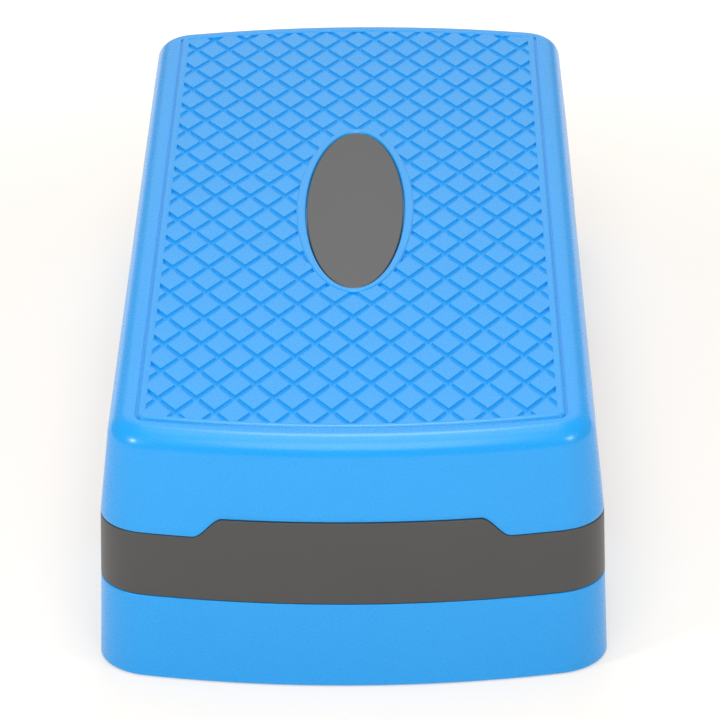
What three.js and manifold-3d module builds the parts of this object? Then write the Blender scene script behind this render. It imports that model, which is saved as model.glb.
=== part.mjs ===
// A two-height step platform: a tread deck on two grey end feet, which stand on two lift-off blue risers.
// Millimetres, +Z up. X runs across the step, Y along it, and the origin is on the floor under the middle.
import * as THREE from "three";
import { mergeVertices } from "three/addons/utils/BufferGeometryUtils.js";
import Module from "manifold-3d";

const wasm = await Module();
wasm.setup();

// Driving dimensions
const LENGTH = 670; // over the bowed ends, at the floor
const WIDTH = 288; // across the long sides, at the floor
const HEIGHT = 150; // floor to the top of the tread's border ridge
const END_RADIUS = 538; // plan radius of the bowed ends
const CORNER_RADIUS = 34; // plan radius of the four corners
const WALL = 3.2; // moulded wall thickness
const GAP = 0.35; // clearance between pieces that nest or rest on each other

// Levels, floor upwards
const WALL_FOOT = 0.8; // lowest edge of the riser walls, held off the floor by the pads
const RISER_TOP = 51; // top of the riser, where the grey foot sits flush
const DIMPLE = 2.4; // depth of the round dimples in the riser's top that take the foot's pads
const SHOULDER = 89.5; // where the grey foot meets the deck at the corners and long sides
const TAB_TOP = 101; // where the grey foot meets the deck in the middle of the end face
const FOOT_PLATE = 86; // top of the grey foot's plate, under the deck's bosses
const DECK_FACE = 148.6; // smooth margin of the deck's top face
const PLATE = 4; // thickness of the deck's top plate
const EDGE_FILLET = 12.5; // rounding between the deck's walls and its top face

// How far the moulded walls lean in from the floor outline, by level
const RISER_LEAN = 1.9;
const FOOT_LEAN = 2.9;
const DECK_LEAN = 8.2;
const SPIGOT_TOP = TAB_TOP + 3; // top of the lip that the grey foot sends up inside the deck

// Plan of the end feet and risers
const FOOT_LENGTH = 186; // along Y, from the bowed end to the inner wall
const BACK_CORNER = 24; // plan radius of a foot's two inner corners

// Raised tab in the middle of each end face
const TAB_HALF = 75; // half width of the tab at its top
const TAB_RUN = 11; // how far the sloping side of the tab runs out
const TAB_ROUND = 6; // rounding at the top and foot of that slope

// Hand grips in the middle of the deck's long sides
const GRIP_HALF = 126;
const GRIP_TOP = 101;

// Tread: border ridge, oval badge and its rim
const RIDGE_INSET = 25.3; // floor outline to the ridge's outer edge
const RIDGE_WIDTH = 4.2;
const RIDGE_CORNER = 5;
const TREAD_FACE = 149.5; // top of the tread's lozenges, which this model leaves plain
const BADGE_HALF_WIDTH = 29.6;
const BADGE_HALF_LENGTH = 121.6;
const BADGE_THICK = 3;
const BADGE_RIM = 4.9;

// Fixings
const PAD_RADIUS = 13;
const PAD_THICK = 3.4;
const FOOT_PAD = RISER_TOP - DIMPLE + GAP; // lower face of the foot's pads
const POST_RADIUS = 17;
const SCREW_RADIUS = 2;
const SCREW_LENGTH = 20;
const HEAD_RADIUS = 4.5;
const HEAD_THICK = 3;
const BOSS_RADIUS = 8;
const PAD_X = 104; // from the step's middle line to the middle of a pad
const PAD_FROM_END = 44; // from the bowed end to the outer pads
const PAD_FROM_INNER = 34; // from a foot's inner wall to the inner pads
const SCREW_SHARE = 0.6; // a screw stands at this share of its pad's distance from the middle line

const SMOOTH = 6; // steps in each quarter of a plan corner
const BOW_STEPS = 5; // half the steps in a bowed end
const BEYOND = 20; // how far cutting solids run past what they cut
const RIB = 2.6; // thickness of the stiffening ribs
const DECK_RIB_DEPTH = 20; // how far the deck's ribs hang below its top plate
const FOOT_RIB_DEPTH = 12; // the same, under the plates of the feet and risers
const DECK_RIB_PITCH_Y = 86; // between the deck's cross ribs
const DECK_RIB_PITCH_X = 62; // between the ribs that run along the deck
const FOOT_RIB_X = 48; // from the middle line to the ribs that run along a foot or riser

const blue = new THREE.MeshStandardMaterial({ color: 0x46abfc, roughness: 0.42, metalness: 0 });
const grey = new THREE.MeshStandardMaterial({ color: 0x595959, roughness: 0.5, metalness: 0 });
const badgeGrey = new THREE.MeshStandardMaterial({ color: 0x6e6e6e, roughness: 0.6, metalness: 0 });
const rubber = new THREE.MeshStandardMaterial({ color: 0x232426, roughness: 0.9, metalness: 0 });
const steel = new THREE.MeshStandardMaterial({ color: 0xb9bcc0, roughness: 0.35, metalness: 1 });

// ---- Solids from three.js geometry, and booleans on them ----

function solid(geometry) {
  const bare = geometry.index ? geometry.toNonIndexed() : geometry.clone();
  bare.deleteAttribute("normal");
  bare.deleteAttribute("uv");
  const merged = mergeVertices(bare, 1e-3);
  return new wasm.Manifold(
    new wasm.Mesh({
      numProp: 3,
      vertProperties: merged.attributes.position.array,
      triVerts: new Uint32Array(merged.index.array),
    }),
  );
}

function join(first, ...others) {
  return others.reduce((sum, other) => sum.add(other), first);
}

function cut(first, ...others) {
  return others.reduce((left, other) => left.subtract(other), first);
}

function geometryOf(manifold) {
  const mesh = manifold.getMesh();
  const geometry = new THREE.BufferGeometry();
  geometry.setAttribute("position", new THREE.BufferAttribute(mesh.vertProperties, 3));
  geometry.setIndex(new THREE.BufferAttribute(mesh.triVerts, 1));
  const flat = geometry.toNonIndexed();
  flat.computeVertexNormals();
  return flat;
}

// ---- Outlines in plan ----

// The whole step's floor outline moved inwards: straight long sides, bowed ends, round corners.
function stepOutline(inset, corner = CORNER_RADIUS - inset) {
  const half = WIDTH / 2 - inset;
  const bow = END_RADIUS - inset;
  const bowCentre = LENGTH / 2 - END_RADIUS;
  const cornerX = half - corner;
  const cornerY = bowCentre + Math.sqrt((bow - corner) ** 2 - cornerX ** 2);
  const turn = Math.atan2(cornerY - bowCentre, cornerX);
  const path = new THREE.Path();
  const quarter = (x, y, from, to) => path.absarc(x, y, corner, from, to, false);
  quarter(cornerX, cornerY, 0, turn);
  path.absarc(0, bowCentre, bow, turn, Math.PI - turn, false);
  quarter(-cornerX, cornerY, Math.PI - turn, Math.PI);
  quarter(-cornerX, -cornerY, Math.PI, Math.PI + turn);
  path.absarc(0, -bowCentre, bow, Math.PI + turn, 2 * Math.PI - turn, false);
  quarter(cornerX, -cornerY, 2 * Math.PI - turn, 2 * Math.PI);
  return pointsOf(path);
}

// One end of that outline, closed by a straight inner wall with round corners.
function footOutline(inset) {
  const half = WIDTH / 2 - inset;
  const corner = CORNER_RADIUS - inset;
  const back = BACK_CORNER - inset;
  const bow = END_RADIUS - inset;
  const bowCentre = END_RADIUS - LENGTH / 2;
  const innerY = FOOT_LENGTH - LENGTH / 2 - inset;
  const cornerX = half - corner;
  const cornerY = bowCentre - Math.sqrt((bow - corner) ** 2 - cornerX ** 2);
  const turn = Math.atan2(bowCentre - cornerY, cornerX);
  const path = new THREE.Path();
  path.absarc(half - back, innerY - back, back, 0, Math.PI / 2, false);
  path.absarc(back - half, innerY - back, back, Math.PI / 2, Math.PI, false);
  path.absarc(-cornerX, cornerY, corner, Math.PI, Math.PI + turn, false);
  path.absarc(0, bowCentre, bow, Math.PI + turn, 2 * Math.PI - turn, false);
  path.absarc(cornerX, cornerY, corner, 2 * Math.PI - turn, 2 * Math.PI, false);
  return pointsOf(path);
}

// Points along a path, with SMOOTH steps to a corner and 2 * BOW_STEPS to a bow, and none doubled.
function pointsOf(path) {
  const points = [];
  for (const curve of path.curves) {
    const steps = curve.isLineCurve ? 1 : curve.xRadius > WIDTH ? 2 * BOW_STEPS : SMOOTH;
    for (const point of curve.getPoints(steps)) {
      const last = points.at(-1);
      if (!last || last.distanceTo(point) > 1e-3) points.push(point);
    }
  }
  if (points[0].distanceTo(points.at(-1)) < 1e-3) points.pop();
  return points;
}

// ---- Solid builders ----

// A closed solid through rings of the same number of points: [{ z, ring }, ...], lowest first.
function loft(levels) {
  const count = levels[0].ring.length;
  const vertices = levels.flatMap(({ z, ring }) => ring.flatMap((p) => [p.x, p.y, z]));
  const faces = [];
  for (let level = 0; level < levels.length - 1; level++) {
    for (let i = 0; i < count; i++) {
      const a = level * count + i;
      const b = level * count + ((i + 1) % count);
      faces.push(a, b, b + count, a, b + count, a + count);
    }
  }
  const cap = THREE.ShapeUtils.triangulateShape(levels[0].ring, []);
  const last = (levels.length - 1) * count;
  for (const [a, b, c] of cap) {
    faces.push(c, b, a, last + a, last + b, last + c);
  }
  const geometry = new THREE.BufferGeometry();
  geometry.setAttribute("position", new THREE.Float32BufferAttribute(vertices, 3));
  geometry.setIndex(faces);
  return solid(geometry);
}

// An upright or leaning prism over an outline function, from one level and inset to another.
function prism(outline, z0, inset0, z1, inset1 = inset0) {
  return loft([
    { z: z0, ring: outline(inset0) },
    { z: z1, ring: outline(inset1) },
  ]);
}

function box(x0, x1, y0, y1, z0, z1) {
  const geometry = new THREE.BoxGeometry(x1 - x0, y1 - y0, z1 - z0);
  return solid(geometry.translate((x0 + x1) / 2, (y0 + y1) / 2, (z0 + z1) / 2));
}

function post(x, y, radius, z0, z1, sides = 20) {
  const geometry = new THREE.CylinderGeometry(radius, radius, z1 - z0, sides);
  return solid(geometry.rotateX(Math.PI / 2).translate(x, y, (z0 + z1) / 2));
}

function ellipsePrism(halfWidth, halfLength, z0, z1) {
  const curve = new THREE.EllipseCurve(0, 0, halfWidth, halfLength, 0, 2 * Math.PI, false, 0);
  const ring = curve.getPoints(48).slice(0, -1);
  return loft([
    { z: z0, ring },
    { z: z1, ring },
  ]);
}

// The outline of a raised tab seen square on, from a base line up to top, with rounded sloping sides.
function tabShape(half, base, low, high) {
  const crest = half;
  const foot = half + TAB_RUN;
  const slope = Math.atan2(high - low, TAB_RUN);
  const trim = TAB_ROUND * Math.tan(slope / 2);
  const along = { x: Math.cos(slope) * trim, z: Math.sin(slope) * trim };
  const shape = new THREE.Shape();
  shape.moveTo(-(foot + trim), base);
  shape.lineTo(foot + trim, base);
  shape.lineTo(foot + trim, low);
  shape.quadraticCurveTo(foot, low, foot - along.x, low + along.z);
  shape.lineTo(crest + along.x, high - along.z);
  shape.quadraticCurveTo(crest, high, crest - trim, high);
  shape.lineTo(trim - crest, high);
  shape.quadraticCurveTo(-crest, high, -crest - along.x, high - along.z);
  shape.lineTo(along.x - foot, low + along.z);
  shape.quadraticCurveTo(-foot, low, -(foot + trim), low);
  return shape;
}

// That outline as a solid running along Y, from y0 to y1.
function tabPrism(y0, y1, ...outline) {
  const options = { depth: y1 - y0, bevelEnabled: false, curveSegments: 5 };
  const geometry = new THREE.ExtrudeGeometry(tabShape(...outline), options);
  return solid(geometry.rotateX(Math.PI / 2).translate(0, y1, 0));
}

// The same outline running right across X, over the long sides.
function gripPrism(...outline) {
  const reach = WIDTH / 2 + BEYOND;
  const options = { depth: 2 * reach, bevelEnabled: false, curveSegments: 5 };
  const geometry = new THREE.ExtrudeGeometry(tabShape(...outline), options);
  return solid(geometry.rotateX(Math.PI / 2).rotateZ(Math.PI / 2).translate(-reach, 0, 0));
}

// ---- The pieces ----

// Where a foot's four posts, pads and screws stand: [x, y] at the end towards -Y.
const outerY = -LENGTH / 2 + PAD_FROM_END;
const innerY = -LENGTH / 2 + FOOT_LENGTH - PAD_FROM_INNER;
const padPlaces = [outerY, innerY].flatMap((y) => [
  [-PAD_X, y],
  [PAD_X, y],
]);
const screwPlaces = padPlaces.map(([x, y]) => [x * SCREW_SHARE, y]);

// Blue riser: an open-bottomed tray with a flat top, dimpled where the grey foot's pads stand.
function riser() {
  const skin = prism(footOutline, WALL_FOOT, 0.1, RISER_TOP, RISER_LEAN);
  const under = prism(footOutline, WALL_FOOT - BEYOND, WALL, RISER_TOP - WALL, WALL + RISER_LEAN);
  const posts = padPlaces.map(([x, y]) => post(x, y, POST_RADIUS, WALL_FOOT, RISER_TOP - 1));
  const sockets = padPlaces.map(([x, y]) => padSocket(x, y, WALL_FOOT - 1, PAD_THICK + GAP));
  const dimples = padPlaces.map(([x, y]) =>
    post(x, y, PAD_RADIUS + 1, RISER_TOP - DIMPLE, RISER_TOP + 1),
  );
  const ribs = crossRibs(RISER_TOP, WALL + 1);
  return cut(join(cut(skin, under), ...posts, ribs), ...sockets, ...dimples);
}

// Stiffening ribs under the plate of a foot or riser, running between its walls.
function crossRibs(plateTop, inset) {
  const z0 = plateTop - WALL - FOOT_RIB_DEPTH;
  const z1 = plateTop - 1;
  const middle = (outerY + innerY) / 2;
  const across = box(-WIDTH, WIDTH, middle - RIB / 2, middle + RIB / 2, z0, z1);
  const along = [-FOOT_RIB_X, FOOT_RIB_X].map((x) => box(x - RIB / 2, x + RIB / 2, -LENGTH, 0, z0, z1));
  return join(across, ...along).intersect(prism(footOutline, z0 - 1, inset, z1 + 1));
}

function padSocket(x, y, z0, z1) {
  return post(x, y, PAD_RADIUS + GAP, z0, z1);
}

// Grey foot: flush with the riser below and the deck above, with a lip up inside the deck and the raised
// tab in its end face.
function foot() {
  const base = RISER_TOP + GAP;
  const spigotInset = WALL + deckInset(SPIGOT_TOP) + GAP;
  const lean = (TAB_TOP - base) * ((FOOT_LEAN - RISER_LEAN) / (SHOULDER - base)) + RISER_LEAN;
  const wall = prism(footOutline, base, RISER_LEAN, TAB_TOP, lean);
  const tab = tabPrism(-LENGTH, outerY, TAB_HALF, base - 1, SHOULDER - GAP, TAB_TOP - GAP);
  const toShoulder = box(-WIDTH, WIDTH, -LENGTH, 0, base - 1, SHOULDER - GAP);
  const outer = wall.intersect(join(toShoulder, tab));
  const spigot = prism(footOutline, FOOT_PLATE - 1, spigotInset, SPIGOT_TOP);
  const cavities = [
    prism(footOutline, base - 1, WALL + FOOT_LEAN, FOOT_PLATE - WALL),
    prism(footOutline, FOOT_PLATE, spigotInset + WALL, TAB_TOP + BEYOND),
  ];
  const posts = padPlaces.map(([x, y]) => post(x, y, POST_RADIUS, base, FOOT_PLATE - 1));
  const ribs = crossRibs(FOOT_PLATE, WALL + FOOT_LEAN - 0.5);
  const sockets = padPlaces.map(([x, y]) => padSocket(x, y, base - 1, FOOT_PAD + PAD_THICK + GAP));
  const holes = screwPlaces.map(([x, y]) => post(x, y, SCREW_RADIUS + GAP, base, HEIGHT, 16));
  return cut(join(cut(join(outer, spigot), ...cavities), ...posts, ribs), ...sockets, ...holes);
}

// How far the deck's outer wall stands in from the floor outline at one level below its rounded edge.
function deckInset(z) {
  const share = (z - SHOULDER) / (DECK_FACE - EDGE_FILLET - SHOULDER);
  return FOOT_LEAN + share * (DECK_LEAN - FOOT_LEAN);
}

// The deck's outside, from its lowest edge up through the rounded edge.
function deckSkin() {
  const levels = [{ z: SHOULDER, ring: stepOutline(FOOT_LEAN) }];
  const start = DECK_FACE - EDGE_FILLET;
  const steps = 5;
  for (let i = 0; i <= steps; i++) {
    const angle = (i / steps) * (Math.PI / 2);
    const inset = DECK_LEAN + EDGE_FILLET * (1 - Math.cos(angle));
    levels.push({ z: start + EDGE_FILLET * Math.sin(angle), ring: stepOutline(inset) });
  }
  return loft(levels);
}

// The space inside the deck's walls and under its top plate, grown outwards and upwards by the given amount.
function deckHollow(grow = 0) {
  const rim = stepOutline(FOOT_LEAN + WALL - grow);
  return loft([
    { z: SHOULDER - BEYOND, ring: rim },
    { z: SHOULDER, ring: rim },
    { z: DECK_FACE - EDGE_FILLET, ring: stepOutline(DECK_LEAN + WALL - grow) },
    { z: DECK_FACE - PLATE + grow, ring: stepOutline(DECK_LEAN + WALL + EDGE_FILLET * 0.6 - grow) },
  ]);
}

// Ribs under the deck's top plate, running into its walls and clear of the feet.
function deckRibs() {
  const z0 = DECK_FACE - PLATE - DECK_RIB_DEPTH;
  const bars = [];
  for (let i = -3; i <= 3; i++) {
    const y = i * DECK_RIB_PITCH_Y;
    bars.push(box(-WIDTH, WIDTH, y - RIB / 2, y + RIB / 2, z0, HEIGHT));
  }
  for (let i = -1; i <= 1; i++) {
    const x = i * DECK_RIB_PITCH_X;
    bars.push(box(x - RIB / 2, x + RIB / 2, -LENGTH, LENGTH, z0, HEIGHT));
  }
  return join(...bars).intersect(deckHollow(1));
}

function ridgeOutline(inset) {
  return stepOutline(inset, Math.max(RIDGE_CORNER - (inset - RIDGE_INSET), 1.5));
}

// Blue deck: one moulding with the tread, its border ridge, the badge pocket, ribs and screw bosses.
function deck() {
  const underPlate = DECK_FACE - PLATE;
  const tread = prism(ridgeOutline, underPlate + 1, RIDGE_INSET + 1, TREAD_FACE);
  const ridge = cut(
    prism(ridgeOutline, underPlate + 1, RIDGE_INSET, HEIGHT, RIDGE_INSET + 0.6),
    prism(ridgeOutline, TREAD_FACE, RIDGE_INSET + RIDGE_WIDTH, HEIGHT + 1),
  );
  const badgeSeat = ellipsePrism(
    BADGE_HALF_WIDTH + BADGE_RIM,
    BADGE_HALF_LENGTH + BADGE_RIM,
    underPlate - PLATE,
    underPlate + 1,
  );
  const pocket = ellipsePrism(
    BADGE_HALF_WIDTH + GAP,
    BADGE_HALF_LENGTH + GAP,
    TREAD_FACE - BADGE_THICK - GAP,
    HEIGHT + 1,
  );
  const bothEnds = [...screwPlaces, ...screwPlaces.map(([x, y]) => [x, -y])];
  const bosses = bothEnds.map(([x, y]) => post(x, y, BOSS_RADIUS, FOOT_PLATE + GAP, DECK_FACE - 1));
  const pilots = bothEnds.map(([x, y]) =>
    post(x, y, SCREW_RADIUS + GAP, FOOT_PLATE - 1, FOOT_PLATE + SCREW_LENGTH + 2, 16),
  );
  const endTabs = [-1, 1].map((side) => {
    const [y0, y1] = side < 0 ? [-LENGTH, outerY] : [-outerY, LENGTH];
    return tabPrism(y0, y1, TAB_HALF, SHOULDER - BEYOND, SHOULDER, TAB_TOP);
  });
  const shell = cut(deckSkin(), deckHollow(), ...endTabs);
  const grips = gripPrism(GRIP_HALF, SHOULDER - BEYOND, SHOULDER, GRIP_TOP);
  const whole = join(cut(shell, grips), deckRibs(), tread, ridge, badgeSeat, ...bosses);
  return cut(whole, pocket, ...pilots);
}

// Grey oval badge, let into the tread.
function badge() {
  return ellipsePrism(
    BADGE_HALF_WIDTH,
    BADGE_HALF_LENGTH,
    TREAD_FACE - BADGE_THICK,
    TREAD_FACE,
  );
}

// A round body turned from a half profile of [radius, height] points that starts and ends on the axis.
function turned(profile, segments) {
  const points = profile.map(([radius, height]) => new THREE.Vector2(radius, height));
  return new THREE.LatheGeometry(points, segments).rotateX(Math.PI / 2);
}

// Rubber pad, its lower face at z = 0.
function pad() {
  return turned(
    [
      [0, 0],
      [PAD_RADIUS - 1, 0],
      [PAD_RADIUS, 1],
      [PAD_RADIUS, PAD_THICK],
      [0, PAD_THICK],
    ],
    16,
  );
}

// Pan-head self-tapping screw, its head's seat at z = 0 and its point up, with a cross recess in the head.
function screw() {
  const body = solid(
    turned(
      [
        [0, -HEAD_THICK],
        [HEAD_RADIUS * 0.7, -HEAD_THICK],
        [HEAD_RADIUS, -HEAD_THICK * 0.45],
        [HEAD_RADIUS, 0],
        [SCREW_RADIUS, 0],
        [SCREW_RADIUS, SCREW_LENGTH - 4],
        [0, SCREW_LENGTH],
      ],
      12,
    ),
  );
  const arm = HEAD_RADIUS * 0.5;
  const low = -HEAD_THICK - 1;
  const deep = -HEAD_THICK * 0.45;
  return cut(body, box(-arm, arm, -0.5, 0.5, low, deep), box(-0.5, 0.5, -arm, arm, low, deep));
}

// ---- Assembly ----

function piece(name, geometry, material) {
  const mesh = new THREE.Mesh(geometry, material);
  mesh.name = name;
  return mesh;
}

function stepPlatform() {
  const step = new THREE.Group();
  step.add(piece("deck", geometryOf(deck()), blue));
  step.add(piece("badge", geometryOf(badge()), badgeGrey));
  const footGeometry = geometryOf(foot());
  const riserGeometry = geometryOf(riser());
  const screwGeometry = geometryOf(screw());
  const seat = FOOT_PLATE - WALL - GAP;
  for (const [end, turn] of [
    ["front", 0],
    ["back", Math.PI],
  ]) {
    const group = new THREE.Group();
    group.rotation.z = turn;
    group.add(piece(`${end}_foot`, footGeometry, grey));
    group.add(piece(`${end}_riser`, riserGeometry, blue));
    padPlaces.forEach(([x, y], i) => {
      const low = piece(`${end}_riser_pad_${i + 1}`, pad(), rubber);
      low.position.set(x, y, 0);
      const high = piece(`${end}_foot_pad_${i + 1}`, pad(), rubber);
      high.position.set(x, y, FOOT_PAD);
      group.add(low, high);
    });
    screwPlaces.forEach(([x, y], i) => {
      const fixing = piece(`${end}_screw_${i + 1}`, screwGeometry, steel);
      fixing.position.set(x, y, seat);
      group.add(fixing);
    });
    step.add(group);
  }
  return step;
}

export default stepPlatform();
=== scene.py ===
# %% [markdown]
# # A two-height step platform
# A low step of moulded plastic: a blue tread deck, two grey end feet under it, and two blue risers that
# the feet stand on. The scene starts from a fixed, plain working model of the step. Each cell below
# makes one real piece or one finish, so that the plain shapes get the look of moulded plastic.

import math

import bpy
import numpy as np
from mathutils import Matrix, Vector


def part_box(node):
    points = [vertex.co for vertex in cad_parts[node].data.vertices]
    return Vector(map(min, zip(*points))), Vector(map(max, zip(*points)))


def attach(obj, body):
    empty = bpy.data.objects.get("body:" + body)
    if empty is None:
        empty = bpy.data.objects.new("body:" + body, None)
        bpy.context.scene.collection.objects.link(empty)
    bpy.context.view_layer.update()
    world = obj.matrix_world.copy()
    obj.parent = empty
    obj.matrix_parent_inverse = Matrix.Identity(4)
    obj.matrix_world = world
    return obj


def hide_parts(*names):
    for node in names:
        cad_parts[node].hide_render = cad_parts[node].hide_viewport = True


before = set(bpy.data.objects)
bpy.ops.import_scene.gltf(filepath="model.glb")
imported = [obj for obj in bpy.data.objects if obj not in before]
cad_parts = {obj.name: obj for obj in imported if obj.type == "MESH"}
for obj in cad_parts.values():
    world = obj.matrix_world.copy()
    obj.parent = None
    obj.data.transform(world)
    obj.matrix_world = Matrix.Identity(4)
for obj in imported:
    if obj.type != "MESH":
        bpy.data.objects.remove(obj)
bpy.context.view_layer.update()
MM = 0.001

# %% [markdown]
# ## Sizes that every piece shares
# Levels and lengths are read from the working model where a piece's box gives them. The rest are the
# moulding's own sizes: wall thickness, clearance, how far each wall leans in, and the radii.
# All of them are in millimetres, and the mesh builder turns them into metres.

# %% Read levels and lengths


def side(node, corner, axis):
    """One side of a piece's box in millimetres. corner 0 is the low side, 1 the high side."""
    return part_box(node)[corner][axis] / MM


# Plan
OUTLINE_GAP = 0.1  # the risers' lower edges stand this far inside the outline
HALF_WIDTH = round(side("front_riser", 1, 0) + OUTLINE_GAP, 1)
HALF_LENGTH = round(side("back_riser", 1, 1) + OUTLINE_GAP, 1)
END_RADIUS = 538  # the bowed ends
CORNER_RADIUS = 34  # the four outer corners
BACK_CORNER = 24  # the two inner corners of a foot
FOOT_LENGTH = 186  # from the bowed end to a foot's inner wall
INNER_Y = HALF_LENGTH - FOOT_LENGTH
TAB_HALF = 75  # half width of the raised tab in the middle of an end face
GRIP_HALF = 126  # half length of the hand grip in a long side

# Levels
WALL_FOOT = side("front_riser", 0, 2)
RISER_TOP = side("front_riser", 1, 2)
FOOT_BASE = side("front_foot", 0, 2)
FOOT_PLATE = 86  # top of the foot's plate, under the deck's bosses
SHOULDER = 89.5  # the seam between foot and deck, away from the tab
SPIGOT_TOP = side("front_foot", 1, 2)
TAB_TOP = round(SPIGOT_TOP - 3, 1)  # the seam over the raised tab
TAB_RISE = TAB_TOP - SHOULDER
DECK_TOP = side("deck", 1, 2)
TREAD_FACE = DECK_TOP - 0.5  # tops of the lozenges
DECK_FACE = DECK_TOP - 1.4  # smooth margin outside the border

# Moulding
WALL = 3.2
PLATE = 4  # thickness of the deck's top plate
GAP = 0.35  # clearance between pieces
EDGE = 0.6  # size of a broken edge
EDGE_SHARE = 0.3  # how far along that edge its middle point lies
FILLET = 12.5  # rounding of the deck's top edge
OVERLAP = 1  # how far shapes run into each other before they are joined or cut
HAIR = 0.1  # keeps two faces from lying in exactly the same place
RISER_LEAN = 1.9
FOOT_LEAN = 2.9
DECK_LEAN = 8.2
print("riser joint at", round(RISER_TOP, 1), "deck top at", round(DECK_TOP, 1))

# %% [markdown]
# ## One outline for all the mouldings
# Seen from above, the step has straight long sides, ends that bow out on a large radius, and round
# corners. Each moulding is that outline pulled inwards by some amount at some height, because a
# moulded wall leans in so that it leaves its mould. The outline is stored once, as points with the
# direction "inwards" at each one, and a ring of the model is `points + inset * inwards`. Points sit
# closer together where an edge will curve.

# %% Stretches of an outline

TAU = 2 * math.pi
CLOSE_BEFORE = 5  # points stand close together from this far before a raised edge's crest
CLOSE_AFTER = 16  # to this far past it


def arc(x, y, radius, start, end, steps=14):
    """Points along a corner, in plan, and the direction inwards at each one."""
    angles = np.linspace(start, end, steps, endpoint=False)
    out = np.stack([np.cos(angles), np.sin(angles)], 1)
    return np.array([x, y]) + radius * out, -out


def spread(limit, crest, steps=(16, 28, 8)):
    """Places from -limit to limit, close together where a raised edge slopes down past its crest."""
    ends = (0, crest - CLOSE_BEFORE, crest + CLOSE_AFTER, limit)
    half = np.concatenate([
        np.linspace(start, end, count, endpoint=False)
        for start, end, count in zip(ends, ends[1:], steps)
    ])
    return np.concatenate([-half[:0:-1], half])


def bow(end, limit):
    """The bowed end at -Y (end = -1) or +Y (end = 1), walked anticlockwise."""
    x = spread(limit, TAB_HALF) * -end
    y = end * (np.sqrt(END_RADIUS**2 - x**2) + HALF_LENGTH - END_RADIUS)
    centre = np.array([0, end * (HALF_LENGTH - END_RADIUS)])
    points = np.stack([x, y], 1)
    return points, (centre - points) / END_RADIUS


def long_side(hand, at):
    """A straight long side at +X (hand = 1) or -X (hand = -1), through the given places along Y."""
    points = np.stack([np.full(len(at), hand * HALF_WIDTH), at], 1)
    return points, np.tile([-hand, 0.0], (len(at), 1))


def inner_wall(reach, steps=40):
    """The straight inner wall of the front foot, walked from +X to -X."""
    x = np.linspace(reach, -reach, steps, endpoint=False)
    return np.stack([x, np.full(steps, -INNER_Y)], 1), np.tile([0.0, -1.0], (steps, 1))


def closed(*stretches):
    """Joins stretches into one outline: its points and their inward directions."""
    return tuple(np.concatenate(part) for part in zip(*stretches))


# %% The deck's outline and the front foot's

SIDE_STEPS = 24
corner_x = HALF_WIDTH - CORNER_RADIUS
corner_y = HALF_LENGTH - END_RADIUS + math.sqrt((END_RADIUS - CORNER_RADIUS) ** 2 - corner_x**2)
turn = math.atan2(corner_y - (HALF_LENGTH - END_RADIUS), corner_x)
bow_limit = END_RADIUS * math.cos(turn)
grip_places = spread(corner_y, GRIP_HALF)

near_end = (
    arc(-corner_x, -corner_y, CORNER_RADIUS, math.pi, math.pi + turn),
    bow(-1, bow_limit),
    arc(corner_x, -corner_y, CORNER_RADIUS, TAU - turn, TAU),
)
DECK_OUTLINE = closed(
    long_side(1, grip_places),
    arc(corner_x, corner_y, CORNER_RADIUS, 0, turn),
    bow(1, bow_limit),
    arc(-corner_x, corner_y, CORNER_RADIUS, math.pi - turn, math.pi),
    long_side(-1, -grip_places),
    *near_end,
)

back_x = HALF_WIDTH - BACK_CORNER
back_y = -INNER_Y - BACK_CORNER
FOOT_OUTLINE = closed(
    long_side(1, np.linspace(-corner_y, back_y, SIDE_STEPS, endpoint=False)),
    arc(back_x, back_y, BACK_CORNER, 0, TAU / 4),
    inner_wall(back_x),
    arc(-back_x, back_y, BACK_CORNER, TAU / 4, TAU / 2),
    long_side(-1, np.linspace(back_y, -corner_y, SIDE_STEPS, endpoint=False)),
    *near_end,
)
print("points round the deck:", len(DECK_OUTLINE[0]), "and round a foot:", len(FOOT_OUTLINE[0]))

# %% [markdown]
# ## From a profile to a closed moulding
# A thin-walled moulding is one continuous skin: down the inside of the wall, round its lower edge, and
# up the outside. So each moulding is given as a profile, a list of (inset, height) pairs, and the
# builder sweeps it round the outline and closes it with a flat face at either end of the list. The
# faces come out in order, so they all point outwards and there is nothing to repair.

# %% The mesh builder


def make_object(name, vertices, faces, smooth):
    """A mesh object in metres from millimetre vertices, with a flag per face for smooth shading."""
    mesh = bpy.data.meshes.new(name)
    mesh.from_pydata((np.asarray(vertices) * MM).tolist(), [], faces)
    mesh.polygons.foreach_set("use_smooth", smooth)
    mesh.update()
    piece = bpy.data.objects.new(name, mesh)
    bpy.context.scene.collection.objects.link(piece)
    return piece


def sweep(name, outline, profile, smooth=True):
    """One closed skin: the (inset, height) pairs swept round the outline, capped at both ends."""
    points, inwards = outline
    count = len(points)
    vertices = []
    for inset, height in profile:
        inset = np.broadcast_to(inset, count)[:, None]
        height = np.broadcast_to(height, count)[:, None]
        vertices.append(np.hstack([points + inset * inwards, height]))
    faces = []
    for ring in range(len(profile) - 1):
        for i in range(count):
            a = ring * count + i
            b = ring * count + (i + 1) % count
            faces.append((a, b, b + count, a + count))
    top = (len(profile) - 1) * count
    caps = [tuple(range(count))[::-1], tuple(range(top, top + count))]
    flags = [smooth] * len(faces) + [False, False]
    return make_object(name, np.vstack(vertices), faces + caps, flags)


def fillet(inset, height, radius, start, end, steps):
    """(inset, height) pairs on an arc about a centre. Angle 0 points outwards, 90 degrees points up."""
    angles = np.radians(np.linspace(start, end, steps))
    return [(inset - radius * math.cos(a), height + radius * math.sin(a)) for a in angles]


# %% [markdown]
# ## Small helpers for node trees
# Ribs, posts, grooves and pads repeat, so they are made with Geometry Nodes. One function adds a node
# with its settings and links, for geometry and for materials alike. Another makes an empty tree with
# named inputs, and a third runs a tree on an object and keeps the result as a plain mesh.

# %% Node tree helpers


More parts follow.
